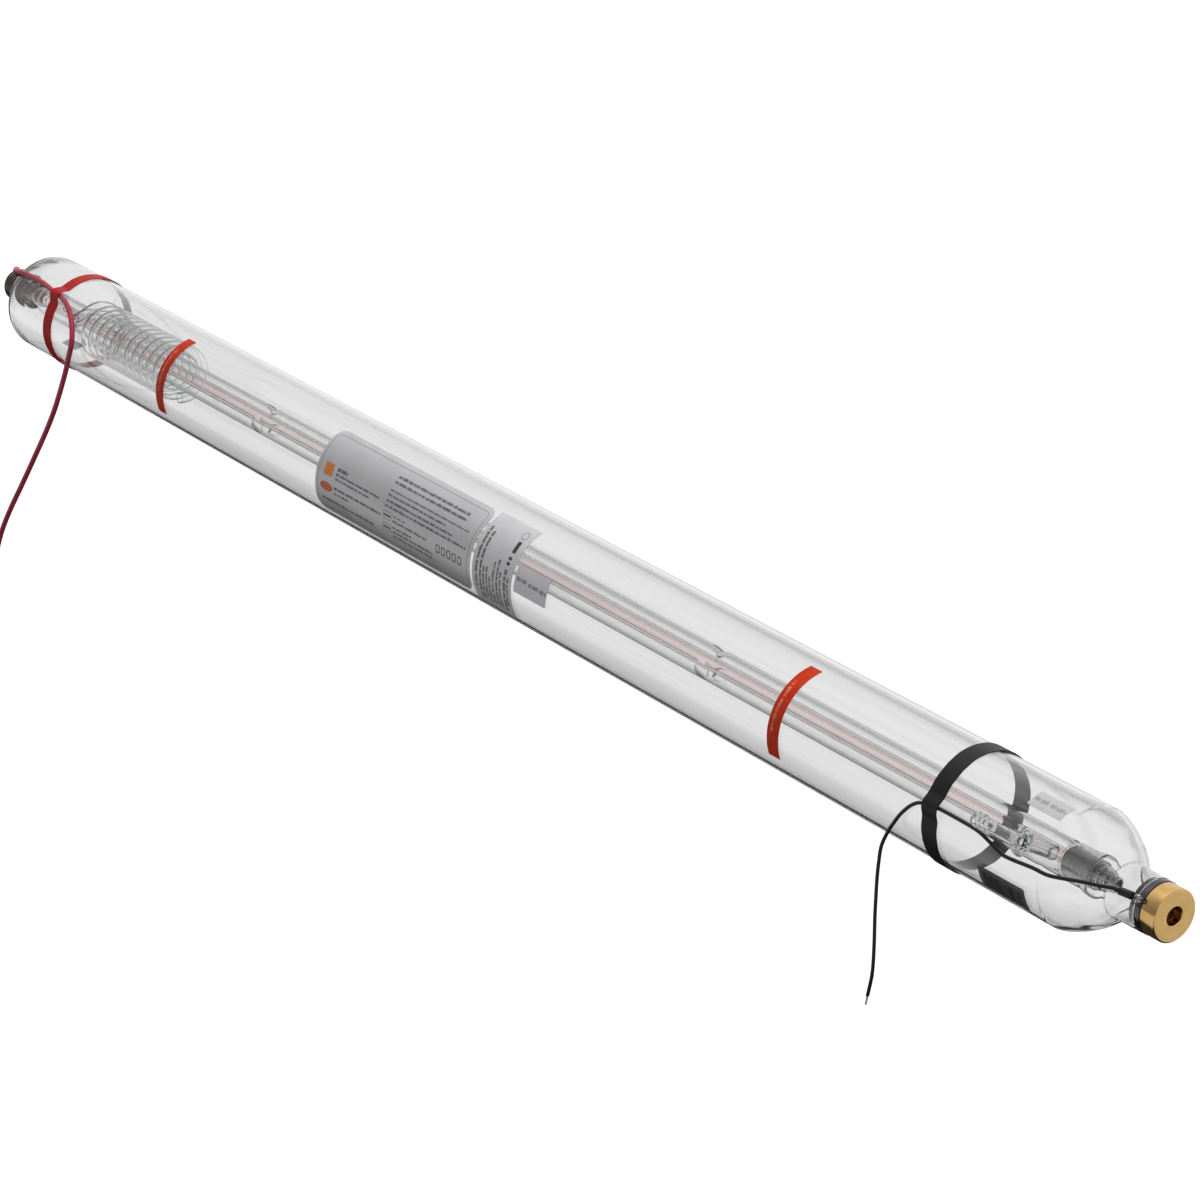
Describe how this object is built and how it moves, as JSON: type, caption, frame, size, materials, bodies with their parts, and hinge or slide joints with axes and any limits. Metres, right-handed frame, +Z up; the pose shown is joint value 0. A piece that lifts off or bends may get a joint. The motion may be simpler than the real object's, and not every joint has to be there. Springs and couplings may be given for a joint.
{
  "type": "glass laser tube",
  "caption": "Long clear glass gas laser tube with a water jacket, spiral gas return, metal end mirrors, water nipples and two high-voltage leads.",
  "frame": {"origin": "on the optical axis at the middle of the tube's length, between its two support places", "axes": "+X along the optical axis towards the output end, +Z up, +Y away from the labelled side"},
  "size_m": [1.45, 0.1174, 0.3632],
  "materials": {
    "glass": "clear borosilicate glass, polished by the flame",
    "brass": "turned and satin",
    "bronze": "dark oxidised metal",
    "steel": "polished",
    "nickel": "satin nickel sheet",
    "coupler": "polished amber coupler",
    "silicon_mirror": "gold coated mirror",
    "black_tape": "black vinyl tape",
    "red_tape": "red polyester tape",
    "red_vinyl": "red vinyl strip",
    "silver_label": "satin silver film",
    "paper_label": "white label",
    "dark_label": "dark label film",
    "black_sleeving": "black wire insulation",
    "red_rubber": "red silicone insulation",
    "tinned_copper": "tinned copper strands"
  },
  "bodies": {
    "root": {"envelope": "glass", "water_jacket": "glass", "discharge_tube": "glass", "gas_return_coil": "glass", "cathode_chamber": "glass", "cathode_sleeve": "nickel", "cathode_collar": "nickel", "cathode_pin": "nickel", "cathode_wire": "nickel", "cathode_terminal": "glass", "anode_sleeve": "nickel", "anode_terminal": "bronze", "output_head": "brass", "output_mirror": "coupler", "seal_ring": "steel", "rear_cap": "bronze", "rear_mirror": "silicon_mirror", "rear_collar": "bronze", "water_outlet": "glass", "water_inlet": "glass", "black_tape": "black_tape", "red_tape": "red_tape", "front_support_strip": "red_vinyl", "rear_support_strip": "red_vinyl", "main_label": "silver_label", "certificate_label": "silver_label", "side_up_label": "silver_label", "outlet_label": "paper_label", "inlet_label": "paper_label", "stock_label": "dark_label", "black_lead": "black_sleeving", "black_lead_shrink_sleeve": "black_sleeving", "black_lead_tip": "tinned_copper", "red_lead": "red_rubber", "red_lead_shrink_sleeve": "red_rubber", "red_lead_tip": "tinned_copper"}
  },
  "joints": []
}
